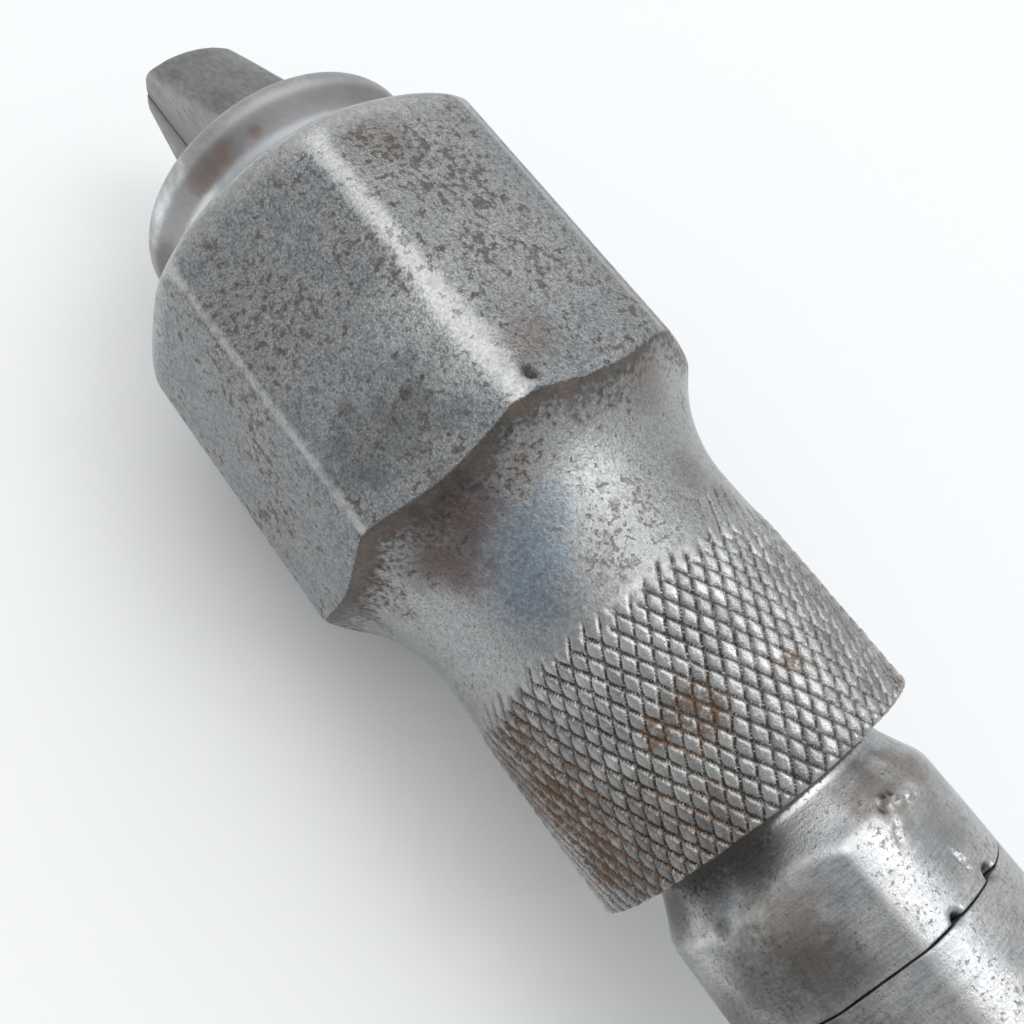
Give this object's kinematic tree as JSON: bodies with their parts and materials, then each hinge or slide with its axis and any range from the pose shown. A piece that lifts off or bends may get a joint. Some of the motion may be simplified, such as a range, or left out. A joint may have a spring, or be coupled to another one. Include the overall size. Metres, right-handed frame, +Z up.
{
  "type": "hand brace",
  "caption": "Hand brace for boring: bent steel crank with a turning wooden grip and mushroom head, and a knurled octagonal screw shell that closes jaws on a square bit shank.",
  "frame": {"origin": "middle of the base of the bounding box, on the table that the brace lies on", "axes": "+X along the brace from the head to the chuck's nose, +Y to the side that the crank's grip lies on, +Z up"},
  "size_m": [0.3944, 0.1796, 0.0759],
  "materials": {
    "worn_steel": "worn dark grey steel with pits, light rust and bright rubbed edges",
    "bright_steel": "light satin turned steel",
    "satin_steel": "satin steel, finely brushed round its axis",
    "dull_steel": "dull grey forged steel",
    "spring_steel": "blued spring wire",
    "dark_wood": "dark stained and polished hardwood"
  },
  "bodies": {
    "frame": {"frame": "satin_steel", "chuck_spindle": "satin_steel", "jaw_spring": "spring_steel", "grip_collar_front": "satin_steel", "grip_collar_rear": "satin_steel", "collar_pin_front": "satin_steel", "collar_pin_rear": "satin_steel", "head_race_lower": "bright_steel", "head_nut_washer": "bright_steel", "head_nut": "bright_steel"},
    "nose_ring": {"nose_ring": "bright_steel", "thrust_washer": "bright_steel"},
    "chuck_shell": {"chuck_shell": "worn_steel"},
    "jaw_a": {"jaw_a": "dull_steel"},
    "jaw_b": {"jaw_b": "dull_steel"},
    "grip": {"grip_half_a": "dark_wood", "grip_half_b": "dark_wood", "grip_ferrule_front": "satin_steel", "grip_ferrule_rear": "satin_steel"},
    "head": {"head_flange": "satin_steel", "head_wood": "dark_wood", "head_race_upper": "bright_steel"}
  },
  "joints": [
    {"name": "ring_slide", "type": "slide", "parent": "frame", "child": "nose_ring", "axis": [0.9987, 0, -0.05], "range_m": [0, 0.008]},
    {"name": "shell_turn", "type": "hinge", "parent": "nose_ring", "child": "chuck_shell", "pos_m": [0.10643, -0.05179, 0.02369], "axis": [0.9987, 0, -0.05], "range_deg": [0, 1440]},
    {"name": "jaw_a_swing", "type": "hinge", "parent": "frame", "child": "jaw_a", "pos_m": [0.12565, -0.05199, 0.02772], "axis": [-0.0021, -0.9991, -0.0415], "range_deg": [0, 1.6]},
    {"name": "jaw_b_swing", "type": "hinge", "parent": "frame", "child": "jaw_b", "pos_m": [0.12515, -0.05158, 0.01775], "axis": [0.0021, 0.9991, 0.0415], "range_deg": [0, 1.6]},
    {"name": "grip_spin", "type": "hinge", "parent": "frame", "child": "grip", "pos_m": [-0.03221, 0.07434, 0.01575], "axis": [0.9987, 0, -0.05], "continuous": true},
    {"name": "head_spin", "type": "hinge", "parent": "frame", "child": "head", "pos_m": [-0.15794, -0.05179, 0.03692], "axis": [0.9987, 0, -0.05], "continuous": true}
  ],
  "couplings": [
    {"joint": "ring_slide", "follows": "shell_turn", "m_per_rad": 0.0003183},
    {"joint": "jaw_a_swing", "follows": "shell_turn", "ratio": 0.001111},
    {"joint": "jaw_b_swing", "follows": "shell_turn", "ratio": 0.001111}
  ]
}
